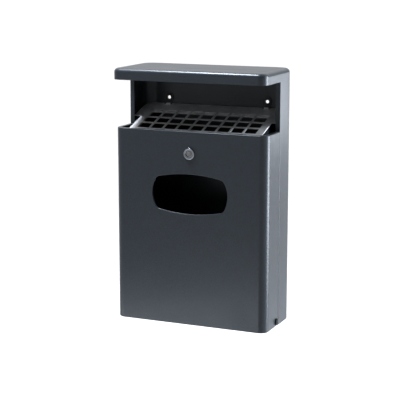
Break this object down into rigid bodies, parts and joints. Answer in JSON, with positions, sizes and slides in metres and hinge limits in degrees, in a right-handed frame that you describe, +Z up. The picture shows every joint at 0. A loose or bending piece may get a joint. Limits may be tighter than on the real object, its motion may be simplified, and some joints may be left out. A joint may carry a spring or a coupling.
{
  "type": "wall-mounted litter and ash bin",
  "caption": "Wall-mounted litter bin with a canopy over a sloping ash grid, a tilting lockable front with a waste opening, and a lift-out liner.",
  "frame": {"origin": "middle of the four wall holes, on the back face that lies against the wall", "axes": "+X to the right seen from the front, +Y into the wall, +Z up"},
  "size_m": [0.4006, 0.19, 0.612],
  "materials": {
    "powder_coat": "satin anthracite powder coat on folded steel sheet",
    "grid_coat": "matt black stoving enamel on perforated and folded steel",
    "inner_coat": "satin powder coat on inner steel parts",
    "zinc_plate": "bright zinc plate",
    "galvanised": "dull galvanised sheet with spangle",
    "lock_chrome": "polished",
    "lock_core": "sintered steel, dull",
    "black_bolt": "semi-gloss black",
    "rubber": "matt",
    "nylon": "natural nylon",
    "grip_plastic": "moulded, fine texture"
  },
  "bodies": {
    "housing": {"rear_shell": "powder_coat", "canopy": "powder_coat", "canopy_bolts": "zinc_plate", "canopy_nuts": "zinc_plate", "bottom_plate": "powder_coat", "wall_washers": "rubber", "pivot_lug_right": "inner_coat", "pivot_lug_left": "inner_coat", "pivot_bolts": "black_bolt", "pivot_nuts": "zinc_plate", "stay_studs": "zinc_plate", "stay_washers": "zinc_plate", "stay_nuts": "zinc_plate", "pan_cradle": "inner_coat", "cradle_rivets": "zinc_plate", "cradle_arm_right": "inner_coat", "cradle_arm_left": "inner_coat", "cover_buffers": "rubber", "ash_pan": "grid_coat", "grid_bracket_right": "inner_coat", "grid_bracket_left": "inner_coat", "grid_bracket_rivets": "zinc_plate", "grid_hinge_pins": "zinc_plate"},
    "front_cover": {"front_cover": "powder_coat", "cover_tray": "inner_coat", "tray_rivets": "zinc_plate", "pivot_bushes": "nylon", "lock_housing": "lock_chrome", "lock_washer": "zinc_plate", "lock_nut": "zinc_plate"},
    "lock_core": {"lock_spindle": "lock_core", "lock_cam": "zinc_plate", "cam_screw": "zinc_plate"},
    "ash_grid": {"ash_grid": "grid_coat"},
    "liner": {"liner_bucket": "galvanised", "handle_ears": "zinc_plate", "ear_rivets": "zinc_plate"},
    "liner_handle": {"handle_wire": "zinc_plate", "handle_grip": "grip_plastic"}
  },
  "joints": [
    {"name": "cover_tilt", "type": "hinge", "parent": "housing", "child": "front_cover", "pos_m": [0, -0.105, -0.2845], "axis": [1, 0, 0], "range_deg": [0, 40]},
    {"name": "lock_turn", "type": "hinge", "parent": "front_cover", "child": "lock_core", "pos_m": [0, -0.175, 0.12], "axis": [0, 1, 0], "range_deg": [0, 90]},
    {"name": "grid_lift", "type": "hinge", "parent": "housing", "child": "ash_grid", "pos_m": [0, -0.00872, 0.21371], "axis": [-1, 0, 0], "range_deg": [0, 50]},
    {"name": "liner_lift", "type": "slide", "parent": "front_cover", "child": "liner", "axis": [0, 0, 1], "range_m": [0, 0.12]},
    {"name": "handle_swing", "type": "hinge", "parent": "liner", "child": "liner_handle", "pos_m": [0, -0.088, -0.0823], "axis": [-1, 0, 0], "range_deg": [0, 223.4]}
  ]
}
